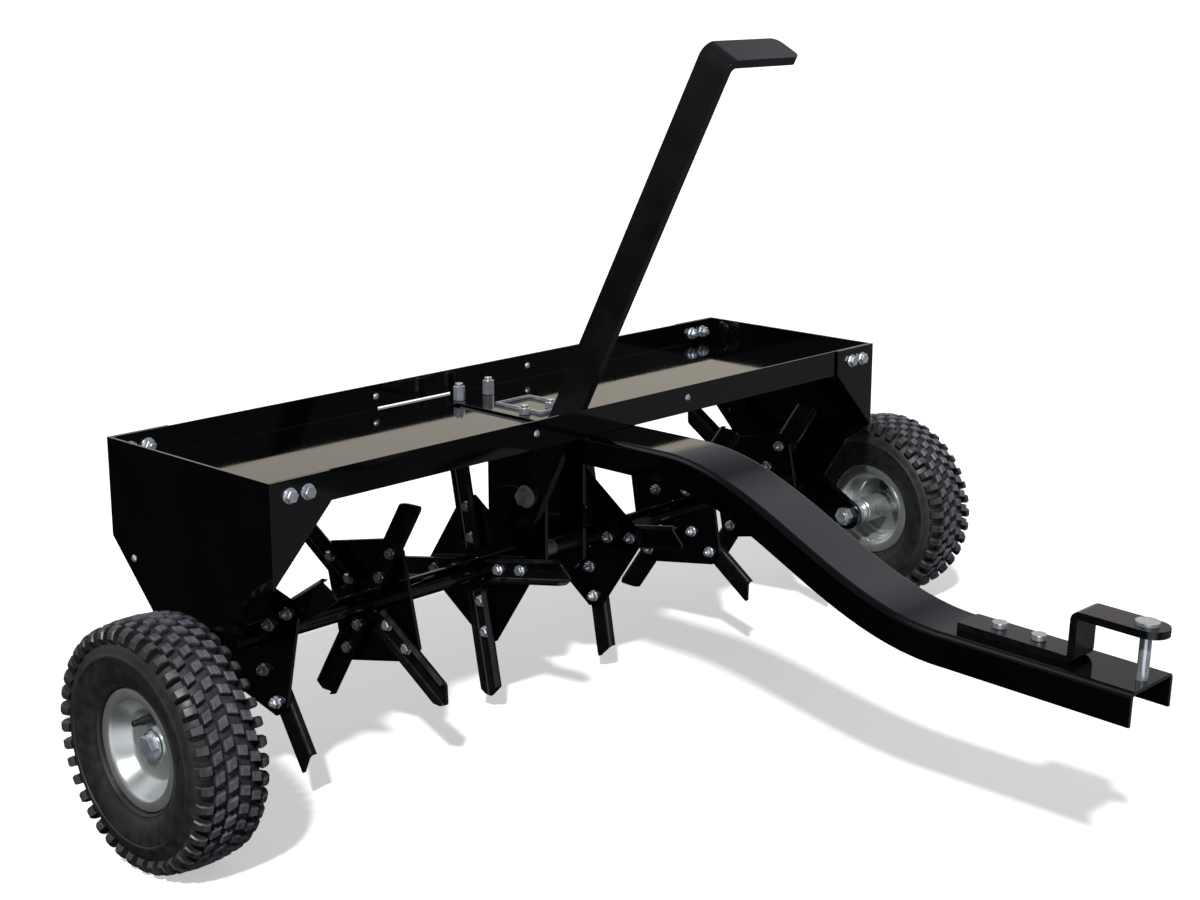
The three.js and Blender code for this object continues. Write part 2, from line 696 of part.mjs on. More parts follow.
function frameGroup() {
  return shaft(new THREE.Group(), [
    piece("tray_pan", trayPan(), paint),
    piece("end_plate_left", endPlate(-1), paint),
    piece("end_plate_right", endPlate(1), paint),
    piece("axle_bush_left", axleBush(-1), plainSteel),
    piece("axle_bush_right", axleBush(1), plainSteel),
    piece("centre_hanger", centreHanger(), paint),
    piece("tongue", tongue(), paint),
    ...TONGUE_BOLTS.map((at, i) => piece("tongue_bolt_" + (i + 1), tongueBolt(at, i), zinc)),
    hitchGroup(),
  ]);
}

function hitchGroup() {
  const group = new THREE.Group();
  group.position.set(0, HITCH_Y, HITCH_Z);
  group.rotation.x = HITCH_DIP;
  return shaft(group, [
    piece("hitch_strap", hitchStrap(), blackSteel),
    ...STRAP_BOLTS.map((reach, i) => piece("strap_bolt_" + (i + 1), strapBolt(reach), zinc)),
    piece("hitch_pin", hitchPin(), zinc),
  ]);
}

function liftGroup() {
  const group = new THREE.Group();
  group.position.set(0, AXLE_Y, AXLE_Z);
  group.rotation.x = LEAN;
  return shaft(group, [
    piece("main_axle", mainAxle(), plainSteel),
    piece("lift_lever", liftLever(), paint),
    piece("stop_bolt", stopBolt(), plainSteel),
    ...sides.map(([name, side]) => piece("wheel_arm_" + name, wheelArm(side), paint)),
    ...sides.map(([name, side]) => piece("wheel_stub_" + name, wheelStub(side), zinc)),
    ...sides.map(([name, side]) => piece("wheel_nut_" + name, wheelNut(side), zinc)),
    ...sides.map(([name, side]) => wheelGroup(name, side)),
  ]);
}

const sides = [
  ["left", -1],
  ["right", 1],
];

function wheelGroup(name, side) {
  const group = new THREE.Group();
  group.position.set(side * HALF_TRACK, -ARM_LENGTH, 0);
  group.rotation.x = -LEAN;
  if (side < 0) group.rotation.z = Math.PI;
  return shaft(group, [
    piece("tyre_" + name, tyre(), rubber),
    piece("rim_" + name, rim(), zinc),
  ]);
}

function gangGroup(name, side) {
  const group = new THREE.Group();
  group.position.set(0, AXLE_Y, AXLE_Z);
  group.add(piece("gang_tube_" + name, gangTube(side), paint));
  STARS.forEach(({ x, phase, face }, i) => {
    if (Math.sign(x) !== side) return;
    group.add(piece("star_plate_" + (i + 1), starPlate(x, phase), paint));
    for (let k = 0; k < 4; k++) {
      const spoonName = "spoon_" + (i + 1) + "_" + (k + 1);
      group.add(piece(spoonName, spoon(x, phase + 90 * k, face), blackSteel));
    }
  });
  return group;
}

const aerator = new THREE.Group();
aerator.add(frameGroup(), liftGroup());
for (const [name, side] of sides) aerator.add(gangGroup(name, side));
const extent = new THREE.Box3().setFromObject(aerator, true);
aerator.position.y = -(extent.min.y + extent.max.y) / 2;

export default aerator;
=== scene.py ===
import json
import math

import bmesh
import bpy
from mathutils import Matrix, Vector


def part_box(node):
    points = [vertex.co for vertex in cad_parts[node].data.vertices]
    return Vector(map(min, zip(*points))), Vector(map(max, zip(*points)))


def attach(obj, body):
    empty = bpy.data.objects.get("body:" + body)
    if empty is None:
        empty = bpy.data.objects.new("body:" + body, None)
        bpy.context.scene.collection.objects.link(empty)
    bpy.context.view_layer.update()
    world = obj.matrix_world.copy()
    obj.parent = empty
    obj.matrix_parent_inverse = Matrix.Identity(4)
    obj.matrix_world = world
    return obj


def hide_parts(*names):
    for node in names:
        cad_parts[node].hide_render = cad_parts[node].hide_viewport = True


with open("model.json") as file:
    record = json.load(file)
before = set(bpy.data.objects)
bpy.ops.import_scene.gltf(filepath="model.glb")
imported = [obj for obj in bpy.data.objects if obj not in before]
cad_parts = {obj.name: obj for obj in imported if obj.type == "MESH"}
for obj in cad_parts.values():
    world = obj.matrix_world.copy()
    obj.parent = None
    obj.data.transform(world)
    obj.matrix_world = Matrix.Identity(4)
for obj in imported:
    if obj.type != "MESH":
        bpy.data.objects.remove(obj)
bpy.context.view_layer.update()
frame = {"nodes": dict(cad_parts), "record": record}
nodes = frame["nodes"]
MM = 0.001
TURN = 2 * math.pi
SIDES = {"left": -1, "right": 1}


def middle(node):
    low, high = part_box(node)
    return (low + high) / 2


AXLE = middle("main_axle")
TRAY_LOW, TRAY_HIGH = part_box("tray_pan")
WHEEL = {name: middle("tyre_" + name) for name in SIDES}
TYRE_RADIUS = WHEEL["left"].z

# Camera and room

CAMERA_FROM_AXLE = Vector((-1.6609, -1.6962, 0.7274))
CAMERA_HEADING = 46.36
CAMERA_DIP = 14.107
LENS = 59.41
FLOOR_HALF = 300
SUN_FROM = (-0.8, -0.6, 1.0)
SUN_SPREAD = math.radians(3.5)
SUN_STRENGTH = 2.9
FILL_LIGHT = 0.27
FLOOR_GLOW = 0.45
STUDIO_BANDS = (
    (-1.0, (0.012, 0.012, 0.013)),
    (-0.12, (0.018, 0.017, 0.016)),
    (0.0, (0.25, 0.23, 0.2)),
    (0.07, (0.88, 0.81, 0.69)),
    (0.275, (0.88, 0.81, 0.69)),
    (0.335, (0.42, 0.4, 0.42)),
    (0.46, (0.3, 0.3, 0.34)),
    (0.6, (0.14, 0.145, 0.18)),
    (1.0, (0.2, 0.2, 0.25)),
)
STUDIO_SIDE = (0.13, 0.135, 0.16, 1)
WALL_FROM = (0.68, 0.73, 0)
WALL_EDGE = (-0.05, 0.45)
WALL_FOOT = (0, 0.05)
STUDIO_CARDS = (
    ((0.8, 0.0, 0.6), (0.935, 0.98), (0.68, 0.68, 0.77)),
    ((-0.76, -0.6, -0.26), (0.86, 0.96), (1.0, 1.05, 1.1)),
    ((-0.4, 0.68, 0.62), (0.88, 0.96), (0.8, 0.84, 0.88)),
    ((0.68, -0.69, -0.3), (0.7, 0.95), (0.2, 0.2, 0.21)),
)
BEHIND_LIGHT = (1, 1, 1, 1)


def make_camera():
    data = bpy.data.cameras.new("camera")
    data.lens = LENS
    data.sensor_width = 36
    camera = bpy.data.objects.new("camera", data)
    bpy.context.collection.objects.link(camera)
    camera.location = AXLE + CAMERA_FROM_AXLE
    camera.rotation_euler = (math.radians(90 - CAMERA_DIP), 0, math.radians(-CAMERA_HEADING))
    bpy.context.scene.camera = camera


def make_sun():
    data = bpy.data.lights.new("sun", "SUN")
    data.energy = SUN_STRENGTH
    data.angle = SUN_SPREAD
    sun = bpy.data.objects.new("sun", data)
    bpy.context.collection.objects.link(sun)
    sun.rotation_euler = Vector(SUN_FROM).to_track_quat("Z", "Y").to_euler()


def studio_bands(tree):
    """What gloss reflects: level bands for floor, warm wall and cool ceiling, and soft bright cards."""
    place = add(tree, "ShaderNodeTexCoord")
    split = add(tree, "ShaderNodeSeparateXYZ")
    ramp = add(tree, "ShaderNodeValToRGB")
    tree.links.new(place.outputs["Generated"], split.inputs["Vector"])
    tree.links.new(spread(tree, split.outputs["Z"], 0, 1, -1, 1), ramp.inputs["Fac"])
    elements = ramp.color_ramp.elements
    while len(elements) < len(STUDIO_BANDS):
        elements.new(0.5)
    for element, (level, colour) in zip(elements, STUDIO_BANDS):
        element.position = (level + 1) / 2
        element.color = (*colour, 1)
    facing = add(tree, "ShaderNodeVectorMath", operation="DOT_PRODUCT")
    facing.inputs[1].default_value = WALL_FROM
    wall = add(tree, "ShaderNodeMix", data_type="RGBA")
    wall.inputs["A"].default_value = STUDIO_SIDE
    tree.links.new(place.outputs["Generated"], facing.inputs[0])
    tree.links.new(spread(tree, facing.outputs["Value"], 0, 1, *WALL_EDGE), wall.inputs["Factor"])
    tree.links.new(ramp.outputs["Color"], wall.inputs["B"])
    above = add(tree, "ShaderNodeMix", data_type="RGBA")
    tree.links.new(spread(tree, split.outputs["Z"], 0, 1, *WALL_FOOT), above.inputs["Factor"])
    tree.links.new(ramp.outputs["Color"], above.inputs["A"])
    tree.links.new(wall.outputs["Result"], above.inputs["B"])
    seen = above.outputs["Result"]
    for direction, edge, colour in STUDIO_CARDS:
        towards = add(tree, "ShaderNodeVectorMath", operation="DOT_PRODUCT")
        towards.inputs[1].default_value = Vector(direction).normalized()
        card = add(tree, "ShaderNodeMix", data_type="RGBA")
        card.inputs["B"].default_value = (*colour, 1)
        tree.links.new(place.outputs["Generated"], towards.inputs[0])
        tree.links.new(spread(tree, towards.outputs["Value"], 0, 1, *edge), card.inputs["Factor"])
        tree.links.new(seen, card.inputs["A"])
        seen = card.outputs["Result"]
    return seen


def make_room():
    world = bpy.data.worlds.new("studio")
    bpy.context.scene.world = world
    world.use_nodes = True
    tree = world.node_tree
    rays = add(tree, "ShaderNodeLightPath")
    seen = add(tree, "ShaderNodeMix", data_type="RGBA")
    lit = add(tree, "ShaderNodeMix", data_type="RGBA")
    seen.inputs["A"].default_value = (FILL_LIGHT, FILL_LIGHT, FILL_LIGHT, 1)
    seen.inputs["B"].default_value = BEHIND_LIGHT
    tree.links.new(rays.outputs["Is Camera Ray"], seen.inputs["Factor"])
    tree.links.new(rays.outputs["Is Glossy Ray"], lit.inputs["Factor"])
    tree.links.new(seen.outputs["Result"], lit.inputs["A"])
    tree.links.new(studio_bands(tree), lit.inputs["B"])
    tree.links.new(lit.outputs["Result"], tree.nodes["Background"].inputs["Color"])
    corners = [(x * FLOOR_HALF, y * FLOOR_HALF, 0) for x, y in ((-1, -1), (1, -1), (1, 1), (-1, 1))]
    floor_mesh = bpy.data.meshes.new("floor")
    floor_mesh.from_pydata(corners, [], [(0, 1, 2, 3)])
    floor = bpy.data.objects.new("floor", floor_mesh)
    bpy.context.collection.objects.link(floor)
    floor.visible_glossy = False
    floor.visible_diffuse = False
    floor_mesh.materials.append(floor_paper())
    make_sun()
    bpy.context.scene.view_settings.view_transform = "Standard"


# Materials

def new_material(name):
    material = bpy.data.materials.new(name)
    material.use_nodes = True
    return material, material.node_tree, material.node_tree.nodes["Principled BSDF"]


def add(tree, kind, **values):
    node = tree.nodes.new(kind)
    for key, value in values.items():
        setattr(node, key, value)
    return node


def noise(tree, scale, detail=3.0, roughness=0.5):
    """Noise on the piece's own coordinates, in pattern cycles per metre."""
    place = add(tree, "ShaderNodeTexCoord")
    texture = add(tree, "ShaderNodeTexNoise")
    texture.inputs["Scale"].default_value = scale
    texture.inputs["Detail"].default_value = detail
    texture.inputs["Roughness"].default_value = roughness
    tree.links.new(place.outputs["Object"], texture.inputs["Vector"])
    return texture.outputs["Fac"]


def spread(tree, value, low, high, start=0.35, stop=0.65):
    node = add(tree, "ShaderNodeMapRange")
    node.inputs["From Min"].default_value = start
    node.inputs["From Max"].default_value = stop
    node.inputs["To Min"].default_value = low
    node.inputs["To Max"].default_value = high
    tree.links.new(value, node.inputs["Value"])
    return node.outputs["Result"]


def blend_colours(tree, value, first, second):
    ramp = add(tree, "ShaderNodeValToRGB")
    ramp.color_ramp.elements[0].color = (*first, 1)
    ramp.color_ramp.elements[0].position = 0.35
    ramp.color_ramp.elements[1].color = (*second, 1)
    ramp.color_ramp.elements[1].position = 0.65
    tree.links.new(value, ramp.inputs["Fac"])
    return ramp.outputs["Color"]


def bump(tree, height, strength, distance):
    node = add(tree, "ShaderNodeBump")
    node.inputs["Strength"].default_value = strength
    node.inputs["Distance"].default_value = distance
    tree.links.new(height, node.inputs["Height"])
    return node.outputs["Normal"]


def surface(name, colours, roughness, metallic, ior, grain, bump_size, broad_grain=None):
    """A finish with mottled colour, uneven roughness and a fine relief."""
    material, tree, shader = new_material(name)
    grain_value = noise(tree, grain, 4)
    broad = noise(tree, broad_grain or grain / 12, 3)
    tree.links.new(blend_colours(tree, broad, *colours), shader.inputs["Base Color"])
    tree.links.new(spread(tree, broad, *roughness), shader.inputs["Roughness"])
    tree.links.new(bump(tree, grain_value, *bump_size), shader.inputs["Normal"])
    shader.inputs["Metallic"].default_value = metallic
    shader.inputs["IOR"].default_value = ior
    return material


def floor_paper():
    pale = ((0.885, 0.885, 0.885), (0.89, 0.89, 0.89))
    material = surface("floor_paper", pale, (0.8, 0.95), 0, 1.3, 40, (0.01, 0.0002))
    shader = material.node_tree.nodes["Principled BSDF"]
    shader.inputs["Specular IOR Level"].default_value = 0
    shader.inputs["Emission Color"].default_value = (1, 1, 1, 1)
    shader.inputs["Emission Strength"].default_value = FLOOR_GLOW
    return material


def tyre_rubber(name, ior, scuff_and_sheen, scuff_and_sheen_depth):
    """Tyre rubber, dark on the walls and a lighter, cooler grey towards the ground face: partly scuff wear,
    partly painted sheen of the lit tread.
    """
    colours = ((0.012, 0.011, 0.011), (0.019, 0.0175, 0.0175))
    material = surface(name, colours, (0.4, 0.55), 0, ior, 900, (0.3, 0.0006))
    tree = material.node_tree
    shader = tree.nodes["Principled BSDF"]
    place = add(tree, "ShaderNodeTexCoord")
    across = add(tree, "ShaderNodeVectorMath", operation="MULTIPLY_ADD")
    across.inputs[1].default_value = (0, 1, 1)
    across.inputs[2].default_value = (0, -WHEEL["left"].y, -WHEEL["left"].z)
    reach = add(tree, "ShaderNodeVectorMath", operation="LENGTH")
    tree.links.new(place.outputs["Object"], across.inputs[0])
    tree.links.new(across.outputs["Vector"], reach.inputs[0])
    # lighter grey towards the ground face: scuff wear plus painted sheen of lit rubber
    limits = [TYRE_RADIUS - depth * MM for depth in scuff_and_sheen_depth]
    scuff_and_sheen_mask = spread(tree, reach.outputs["Value"], 0, 1, *limits)
    mix = add(tree, "ShaderNodeMix", data_type="RGBA")
    tree.links.new(scuff_and_sheen_mask, mix.inputs["Factor"])
    tree.links.new(shader.inputs["Base Color"].links[0].from_socket, mix.inputs["A"])
    tree.links.new(blend_colours(tree, noise(tree, 160, 4), *scuff_and_sheen), mix.inputs["B"])
    tree.links.new(mix.outputs["Result"], shader.inputs["Base Color"])
    return material


def finishes():
    black = ((0.0005, 0.0005, 0.0007), (0.0012, 0.0012, 0.0015))
    dark = ((0.0022, 0.0022, 0.0026), (0.0042, 0.0042, 0.0047))
    worn = ((0.0045, 0.0046, 0.0048), (0.0065, 0.0066, 0.0068))
    bolt_zinc = ((0.56, 0.61, 0.67), (0.76, 0.8, 0.86))
    bare_steel = ((0.4, 0.4, 0.4), (0.6, 0.6, 0.59))
    rim_zinc = ((0.52, 0.55, 0.54), (0.6, 0.63, 0.62))
    # greys for the ground face of the walls and knobs: scuff wear plus painted sheen of the lit tread
    wall_scuff_and_sheen = ((0.02, 0.02, 0.022), (0.045, 0.046, 0.052))
    knob_scuff_and_sheen = ((0.06, 0.062, 0.078), (0.12, 0.124, 0.152))
    return {
        "gloss": surface("black_gloss_paint", black, (0.045, 0.075), 0, 1.5, 240, (0.05, 0.0002), 14),
        "worn": surface("black_worn_paint", worn, (0.12, 0.2), 0, 1.5, 900, (0.1, 0.0003), 30),
        "satin": surface("black_satin_paint", dark, (0.2, 0.3), 0, 1.5, 900, (0.16, 0.0003), 60),
        "zinc": surface("zinc_plate", bolt_zinc, (0.2, 0.34), 0.78, 1.5, 900, (0.1, 0.0002)),
        "steel": surface("plain_steel", bare_steel, (0.36, 0.5), 0.6, 1.5, 500, (0.2, 0.0003)),
        "rim": surface("zinc_rim", rim_zinc, (0.26, 0.34), 0.8, 1.5, 300, (0.06, 0.0003), 30),
        "rubber": tyre_rubber("tyre_rubber", 1.5, wall_scuff_and_sheen, (13, 7)),
        "tread": tyre_rubber("tread_rubber", 1.7, knob_scuff_and_sheen, (5, 1)),
    }


# Mesh helpers

def placed(name, mesh, material, body):
    """A finished mesh as a piece that rides on a body."""
    made = bpy.data.objects.new(name, mesh)
    bpy.context.collection.objects.link(made)
    mesh.materials.clear()
    mesh.materials.append(material)
    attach(made, body)
    return made


def to_mesh(shape, name, sharp=35):
    """A bmesh as a mesh, smooth except across edges sharper than the given angle."""
    bmesh.ops.recalc_face_normals(shape, faces=shape.faces)
    for face in shape.faces:
        face.smooth = True
    for edge in shape.edges:
        edge.smooth = edge.calc_face_angle(0) < math.radians(sharp)
    mesh = bpy.data.meshes.new(name)
    shape.to_mesh(mesh)
    shape.free()
    return mesh


def baked(made):
    """The object's mesh with its modifiers applied."""
    graph = bpy.context.evaluated_depsgraph_get()
    shown = made.evaluated_get(graph)
    mesh = bpy.data.meshes.new_from_object(shown, preserve_all_data_layers=True, depsgraph=graph)
    bpy.data.objects.remove(made, do_unlink=True)
    return mesh


def bevelled(mesh, radius, sharp, steps):
    for face in mesh.polygons:
        face.use_smooth = True
    made = bpy.data.objects.new(mesh.name, mesh)
    bpy.context.collection.objects.link(made)
    edge = made.modifiers.new("edge", "BEVEL")
    edge.width = radius
    edge.segments = steps
    edge.limit_method = "ANGLE"
    edge.angle_limit = math.radians(sharp)
    flat = made.modifiers.new("flat", "WEIGHTED_NORMAL")
    flat.mode = "FACE_AREA"
    flat.weight = 100
    return baked(made)


def softened(node, radius, sharp=25, steps=3):
    """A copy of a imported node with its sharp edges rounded, as one clean mesh."""
    shape = bmesh.new()
    shape.from_mesh(nodes[node].data)
    bmesh.ops.remove_doubles(shape, verts=shape.verts, dist=0.02 * MM)
    bmesh.ops.dissolve_limit(
        shape, angle_limit=math.radians(0.4), verts=shape.verts, edges=shape.edges, delimit=set()
    )
    mesh = bpy.data.meshes.new(node + "_shape")
    shape.to_mesh(mesh)
    shape.free()
    return bevelled(mesh, radius, sharp, steps)


def slot_of(node):
    for entry in frame["record"]["subparts"]:
        if entry["node"] == node:
            return entry["material_slot"]
    raise ValueError(node)


def body_of(node):
    for body, members in frame["record"]["behaviour"]["bodies"].items():
        if node in members:
            return body
    raise ValueError(node)


def stands_for(node, mesh, material, name=None):
    """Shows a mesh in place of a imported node."""
    made = placed(name or node + "_skin", mesh, material, body_of(node))
    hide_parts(node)
    return made


def turned(name, profile, centre, side=1, steps=96, sharp=35):
    """A ring of revolution about an axle along X, from closed (radius, outward offset) points in mm."""
    shape = bmesh.new()
    rings = []
    for k in range(steps):
        y, z = math.sin(TURN * k / steps), math.cos(TURN * k / steps)
        rings.append(
            [
                shape.verts.new(centre + Vector((side * out * MM, radius * MM * y, radius * MM * z)))
                for radius, out in profile
            ]
        )
    for k in range(steps):
        here, there = rings[k - 1], rings[k]
        for i in range(len(profile)):
            shape.faces.new((here[i - 1], here[i], there[i], there[i - 1]))
    return to_mesh(shape, name, sharp)


def prism(shape, sides, radius, low, high, chamfer=0.0):
    """Adds a closed prism about Z in mm, its top edge chamfered."""
    levels = [(radius, low), (radius, high - chamfer), (radius - chamfer, high)]
    if not chamfer:
        levels.pop()
    rings = []
    for size, level in levels:
        ring_verts = []
        for k in range(sides):
            x = size * MM * math.cos(TURN * k / sides)
            y = size * MM * math.sin(TURN * k / sides)
            ring_verts.append(shape.verts.new((x, y, level * MM)))
        rings.append(ring_verts)
    for lower, upper in zip(rings, rings[1:]):
        for k in range(sides):
            shape.faces.new((lower[k - 1], lower[k], upper[k], upper[k - 1]))
    shape.faces.new(reversed(rings[0]))
    shape.faces.new(rings[-1])


def joined(name, meshes):
    """Several meshes as one."""
    shape = bmesh.new()
    for mesh in meshes:
        shape.from_mesh(mesh)
    made = bpy.data.meshes.new(name)
    shape.to_mesh(made)
    shape.free()
    return made


# Geometry Nodes: copies of one small piece

def new_tree(name, inputs):
    tree = bpy.data.node_groups.new(name, "GeometryNodeTree")
    tree.interface.new_socket(name="Geometry", in_out="INPUT", socket_type="NodeSocketGeometry")
    tree.interface.new_socket(name="Geometry", in_out="OUTPUT", socket_type="NodeSocketGeometry")
    for label, kind in inputs:
        tree.interface.new_socket(name=label, in_out="INPUT", socket_type=kind)
    return tree, add(tree, "NodeGroupInput"), add(tree, "NodeGroupOutput")


def copies(tree, given, points, rotation, result):
    """Stands the Piece on the points, and gives the result its finish."""
    source = add(tree, "GeometryNodeObjectInfo")
    stand = add(tree, "GeometryNodeInstanceOnPoints")
    real = add(tree, "GeometryNodeRealizeInstances")
    finish = add(tree, "GeometryNodeSetMaterial")
    tree.links.new(given.outputs["Piece"], source.inputs["Object"])
    tree.links.new(points, stand.inputs["Points"])
    tree.links.new(source.outputs["Geometry"], stand.inputs["Instance"])
    tree.links.new(rotation, stand.inputs["Rotation"])
    tree.links.new(stand.outputs["Instances"], real.inputs["Geometry"])
    tree.links.new(real.outputs["Geometry"], finish.inputs["Geometry"])
    tree.links.new(given.outputs["Finish"], finish.inputs["Material"])
    tree.links.new(finish.outputs["Geometry"], result.inputs["Geometry"])


def ring_tree():
    """Count copies of a Piece, which is drawn upright at its own radius, in a ring about an axle along X."""
    inputs = [
        ("Piece", "NodeSocketObject"),
        ("Count", "NodeSocketInt"),
        ("Start", "NodeSocketFloat"),
        ("Centre", "NodeSocketVector"),
        ("Finish", "NodeSocketMaterial"),
    ]
    tree, given, result = new_tree("ring_of_copies", inputs)
    points = add(tree, "GeometryNodePoints")
    index = add(tree, "GeometryNodeInputIndex")
    share = add(tree, "ShaderNodeMath", operation="DIVIDE")
    angle = add(tree, "ShaderNodeMath", operation="MULTIPLY_ADD")
    turn = add(tree, "ShaderNodeCombineXYZ")
    angle.inputs[1].default_value = TURN
    tree.links.new(given.outputs["Count"], points.inputs["Count"])
    tree.links.new(given.outputs["Centre"], points.inputs["Position"])
    tree.links.new(index.outputs["Index"], share.inputs[0])
    tree.links.new(given.outputs["Count"], share.inputs[1])
    tree.links.new(share.outputs["Value"], angle.inputs[0])
    tree.links.new(given.outputs["Start"], angle.inputs[2])
    tree.links.new(angle.outputs["Value"], turn.inputs["X"])
    copies(tree, given, points.outputs["Points"], turn.outputs["Vector"], result)
    return tree


def points_tree():
    """A Piece on every vertex, turned by the vertex's own angles."""
    inputs = [("Piece", "NodeSocketObject"), ("Finish", "NodeSocketMaterial")]
    tree, given, result = new_tree("copies_on_points", inputs)
    turn = add(tree, "GeometryNodeInputNamedAttribute", data_type="FLOAT_VECTOR")
    turn.inputs["Name"].default_value = "turn"
    copies(tree, given, given.outputs["Geometry"], turn.outputs["Attribute"], result)
    return tree


def grown(name, tree, base, values):
    """The mesh that a tree makes from a base mesh and named values."""
    made = bpy.data.objects.new(name, base)
    bpy.context.collection.objects.link(made)
    modifier = made.modifiers.new("copies", "NODES")
    modifier.node_group = tree
    for item in tree.interface.items_tree:
        if item.in_out == "INPUT" and item.name in values:
            modifier[item.identifier] = values[item.name]
    mesh = baked(made)
    mesh.name = name
    return mesh


def template(name, mesh):
    """A small piece kept off the scene, for the trees to copy."""
    return bpy.data.objects.new(name, mesh)


def ring(name, piece, count, start, centre, finish):
    empty = bpy.data.meshes.new(name + "_base")
    values = {"Piece": piece, "Count": count, "Start": start, "Centre": centre, "Finish": finish}
    return grown(name, RING, empty, values)


def fastened(name, piece, spots, finish):
    """Copies of a piece drawn along +Z, one at each (place, direction) spot."""
    base = bpy.data.meshes.new(name + "_base")
    base.from_pydata([tuple(place) for place, direction in spots], [], [])
    turn = base.attributes.new("turn", "FLOAT_VECTOR", "POINT")
    for item, (place, direction) in zip(turn.data, spots):
        item.vector = Vector(direction).to_track_quat("Z", "Y").to_euler()
    return grown(name, ON_POINTS, base, {"Piece": piece, "Finish": finish})


# Wheels

KNOBS = 39
KNOB_FOOT = 122.0
KNOB_HALVES = (6.0, 5.9)
# Each row's offset from the middle, top radius, stagger in steps, and slant.
KNOB_ROWS = (
    (-21.2, 129.8, 0.5, 0.3),
    (-7.1, 131.2, 0.0, 0.3),
    (7.1, 131.2, 0.5, -0.3),
    (21.2, 129.8, 0.0, -0.3),
)
LUG_OUTLINE = [(29.6, 128.9), (35.2, 127.8), (40.2, 123.6), (42.4, 117.4), (38.6, 112.0), (29.6, 116.0)]
LUG_STEPS = ((-4.9, 1.2), (-3.7, 0.0), (3.7, 0.0), (4.9, 1.2))
TYRE_BORE = 51.4
TYRE_FOOT = 26.0
SEAL_PLACES = ((0, 1), (-40, -1))
VALVE_REACH = 29.0
VALVE_TURN = {"left": 0.0, "right": -4.0}

TYRE_HALF = [
    (125.2, 0), (124.8, 13), (122.2, 23), (117.6, 31.0), (111.6, 37.0), (105.6, 40.3),
    (100.8, 41.4), (99.8, 42.2), (97.2, 42.3), (96.4, 41.4), (88, 41.1), (79, 39.2),
    (72.5, 35.8), (69.2, 33.6), (67.4, 33.4), (65.6, 31.6), (64.9, 26.8),
]

RIM_RING = [
    (17.5, 7.6), (35.5, 7.6), (38.6, 8.6), (41.2, 11.2), (50.6, 26.0), (52.4, 28.4),
    (54.6, 29.5), (61.6, 29.6), (63.6, 29.0), (64.3, 27.9), (63.4, 27.3), (55.2, 27.2),
    (52.6, 26.2), (50.9, 24.0), (44.2, 12.5), (43.9, -10.5), (50.7, -16.0), (50.8, -25.8),
    (52.8, -27.1), (63.4, -27.3), (64.3, -27.9), (63.6, -29.0), (61.6, -29.6), (54.6, -29.5),
    (51.2, -28.6), (49.0, -26.6), (48.4, -24.5), (48.3, -17.2), (41.8, -11.6), (41.6, 2.6),
    (39.4, 4.8), (17.5, 5.0),
]

HUB = [
    (17.5, 9.2), (16.7, 10.0), (14.6, 10.0), (14.4, 8.8), (9.2, 8.8), (9.2, -48.8),
    (14.4, -48.8), (14.6, -50.0), (16.7, -50.0), (17.5, -49.2), (17.5, 3.4), (19.3, 5.0),
    (19.6, 6.3), (19.2, 7.6), (17.5, 8.6),
]

SEAL = [(14.3, 9.3), (9.0, 9.5), (9.0, 8.9), (14.3, 8.9)]

VALVE_STEM = [
    (0.4, 33), (2.9, 33), (3.5, 32), (3.5, 24), (4.6, 22), (5.0, 10),
    (7.2, 9), (7.6, 7.4), (7.6, 3.6), (0.4, 3),
]


def knob(half_x, half_y, low, high, skew, taper=0.9, chamfer=0.6):
    """One tread block, upright at its own radius, its ends slanted across the tread."""
    shape = bmesh.new()
    levels = [(0, low), (taper, high - chamfer), (taper + chamfer, high)]
    rings = []
    for inset, level in levels:
        x, y = (half_x - inset) * MM, (half_y - inset) * MM
        corners = ((-1, -1), (1, -1), (1, 1), (-1, 1))
        rings.append([shape.verts.new((u * x, v * y + skew * u * x, level * MM)) for u, v in corners])
    for lower, upper in zip(rings, rings[1:]):
        for k in range(4):
            shape.faces.new((lower[k - 1], lower[k], upper[k], upper[k - 1]))
    shape.faces.new(rings[0])
    shape.faces.new(rings[-1])
    return to_mesh(shape, "knob", 20)


def shoulder_lug(side):
    """One shoulder block, which runs over the edge and down the side wall."""
    shape = bmesh.new()
    rings = []
    for along, inset in LUG_STEPS:
        rings.append(
            [shape.verts.new((side * (x - inset) * MM, along * MM, (z - inset) * MM)) for x, z in LUG_OUTLINE]
        )
    for here, there in zip(rings, rings[1:]):
        for k in range(len(LUG_OUTLINE)):
            shape.faces.new((here[k - 1], here[k], there[k], there[k - 1]))
    shape.faces.new(rings[0])
    shape.faces.new(rings[-1])
    return to_mesh(shape, "lug", 30)


def make_tyre(name):
    side = SIDES[name]
    centre = WHEEL[name]
    inner = [(radius, -out) for radius, out in reversed(TYRE_HALF[1:])]
    profile = TYRE_HALF + [(TYRE_BORE, TYRE_FOOT), (TYRE_BORE, -TYRE_FOOT)] + inner
    stands_for("tyre_" + name, turned("tyre", profile, centre, side, 120), FINISH["rubber"])
    step = TURN / KNOBS
    rows = []
    for offset, top, stagger, skew in KNOB_ROWS:
        block = template("knob", knob(*KNOB_HALVES, KNOB_FOOT, top, skew))
        row_centre = centre + Vector((offset * MM, 0, 0))
        rows.append(ring("row", block, KNOBS, stagger * step, row_centre, FINISH["tread"]))
    for edge, stagger in ((-1, 0.0), (1, 0.5)):
        block = template("lug", shoulder_lug(edge))
        rows.append(ring("edge", block, KNOBS, stagger * step, centre, FINISH["tread"]))
    placed("tread_" + name, joined("tread_" + name, rows), FINISH["tread"], "wheel_" + name)


